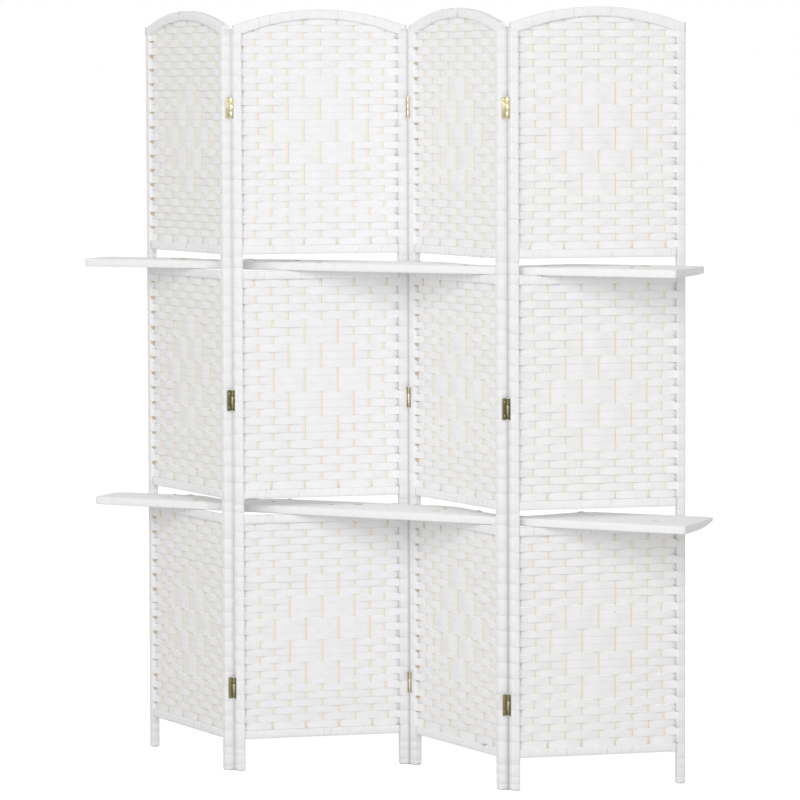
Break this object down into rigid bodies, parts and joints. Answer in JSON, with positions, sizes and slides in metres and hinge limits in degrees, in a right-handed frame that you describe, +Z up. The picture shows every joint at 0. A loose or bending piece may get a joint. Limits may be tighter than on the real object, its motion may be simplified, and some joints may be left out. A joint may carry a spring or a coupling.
{
  "type": "folding room divider",
  "caption": "Free-standing folding screen of woven white panels with arched tops, hinged in a zigzag, with long shelf boards that run through slots in the panels.",
  "frame": {"origin": "bottom centre of the bounding box: on the floor, under the middle of the shelves and of the zigzag", "axes": "+X along the row of panels to the viewer's right, +Y from the front to the back, +Z up"},
  "size_m": [1.494, 0.2514, 1.698],
  "materials": {
    "white_wrapped_frame": "matt white painted paper strip wrapped round a slim core",
    "white_woven_strip": "matt white flat paper strip woven round pale natural sticks",
    "white_wrapped_shelf": "matt white painted paper strip wrapped round a board",
    "brass": "brass-plated, satin"
  },
  "bodies": {
    "panel_1": {"panel_1_bottom_rail": "white_wrapped_frame", "panel_1_lower_slot_bottom_rail": "white_wrapped_frame", "panel_1_lower_slot_top_rail": "white_wrapped_frame", "panel_1_lower_weave": "white_woven_strip", "panel_1_middle_weave": "white_woven_strip", "panel_1_outer_frame": "white_wrapped_frame", "panel_1_right_bottom_hinge_leaf": "brass", "panel_1_right_middle_hinge_leaf": "brass", "panel_1_right_top_hinge_leaf": "brass", "panel_1_upper_slot_bottom_rail": "white_wrapped_frame", "panel_1_upper_slot_top_rail": "white_wrapped_frame", "panel_1_upper_weave": "white_woven_strip"},
    "panel_2": {"panel_2_bottom_rail": "white_wrapped_frame", "panel_2_left_bottom_hinge_leaf": "brass", "panel_2_left_middle_hinge_leaf": "brass", "panel_2_left_top_hinge_leaf": "brass", "panel_2_lower_slot_bottom_rail": "white_wrapped_frame", "panel_2_lower_slot_top_rail": "white_wrapped_frame", "panel_2_lower_weave": "white_woven_strip", "panel_2_middle_weave": "white_woven_strip", "panel_2_outer_frame": "white_wrapped_frame", "panel_2_right_bottom_hinge_leaf": "brass", "panel_2_right_middle_hinge_leaf": "brass", "panel_2_right_top_hinge_leaf": "brass", "panel_2_upper_slot_bottom_rail": "white_wrapped_frame", "panel_2_upper_slot_top_rail": "white_wrapped_frame", "panel_2_upper_weave": "white_woven_strip"},
    "panel_3": {"panel_3_bottom_rail": "white_wrapped_frame", "panel_3_left_bottom_hinge_leaf": "brass", "panel_3_left_middle_hinge_leaf": "brass", "panel_3_left_top_hinge_leaf": "brass", "panel_3_lower_slot_bottom_rail": "white_wrapped_frame", "panel_3_lower_slot_top_rail": "white_wrapped_frame", "panel_3_lower_weave": "white_woven_strip", "panel_3_middle_weave": "white_woven_strip", "panel_3_outer_frame": "white_wrapped_frame", "panel_3_right_bottom_hinge_leaf": "brass", "panel_3_right_middle_hinge_leaf": "brass", "panel_3_right_top_hinge_leaf": "brass", "panel_3_upper_slot_bottom_rail": "white_wrapped_frame", "panel_3_upper_slot_top_rail": "white_wrapped_frame", "panel_3_upper_weave": "white_woven_strip"},
    "panel_4": {"panel_4_bottom_rail": "white_wrapped_frame", "panel_4_left_bottom_hinge_leaf": "brass", "panel_4_left_middle_hinge_leaf": "brass", "panel_4_left_top_hinge_leaf": "brass", "panel_4_lower_slot_bottom_rail": "white_wrapped_frame", "panel_4_lower_slot_top_rail": "white_wrapped_frame", "panel_4_lower_weave": "white_woven_strip", "panel_4_middle_weave": "white_woven_strip", "panel_4_outer_frame": "white_wrapped_frame", "panel_4_upper_slot_bottom_rail": "white_wrapped_frame", "panel_4_upper_slot_top_rail": "white_wrapped_frame", "panel_4_upper_weave": "white_woven_strip"},
    "lower_shelf": {"lower_shelf": "white_wrapped_shelf"},
    "upper_shelf": {"upper_shelf": "white_wrapped_shelf"}
  },
  "joints": [
    {"name": "left_ridge_fold", "type": "hinge", "parent": "panel_2", "child": "panel_1", "pos_m": [-0.32178, -0.11086, 0.8295], "axis": [0, 0, -1], "range_deg": [0, 105]},
    {"name": "valley_fold", "type": "hinge", "parent": "panel_2", "child": "panel_3", "pos_m": [0.009, 0.11086, 0.8295], "axis": [0, 0, -1], "range_deg": [0, 105]},
    {"name": "right_ridge_fold", "type": "hinge", "parent": "panel_3", "child": "panel_4", "pos_m": [0.33978, -0.11086, 0.8295], "axis": [0, 0, 1], "range_deg": [0, 105]},
    {"name": "lower_shelf_turn", "type": "hinge", "parent": "panel_2", "child": "lower_shelf", "pos_m": [-0.15639, 0, 0.573], "axis": [0, 0, -1], "range_deg": [0, 52.5]},
    {"name": "upper_shelf_turn", "type": "hinge", "parent": "panel_2", "child": "upper_shelf", "pos_m": [-0.15639, 0, 1.118], "axis": [0, 0, -1], "range_deg": [0, 52.5]}
  ],
  "couplings": [
    {"joint": "valley_fold", "follows": "left_ridge_fold", "ratio": 1},
    {"joint": "right_ridge_fold", "follows": "left_ridge_fold", "ratio": 1},
    {"joint": "lower_shelf_turn", "follows": "left_ridge_fold", "ratio": 0.5},
    {"joint": "upper_shelf_turn", "follows": "left_ridge_fold", "ratio": 0.5}
  ]
}
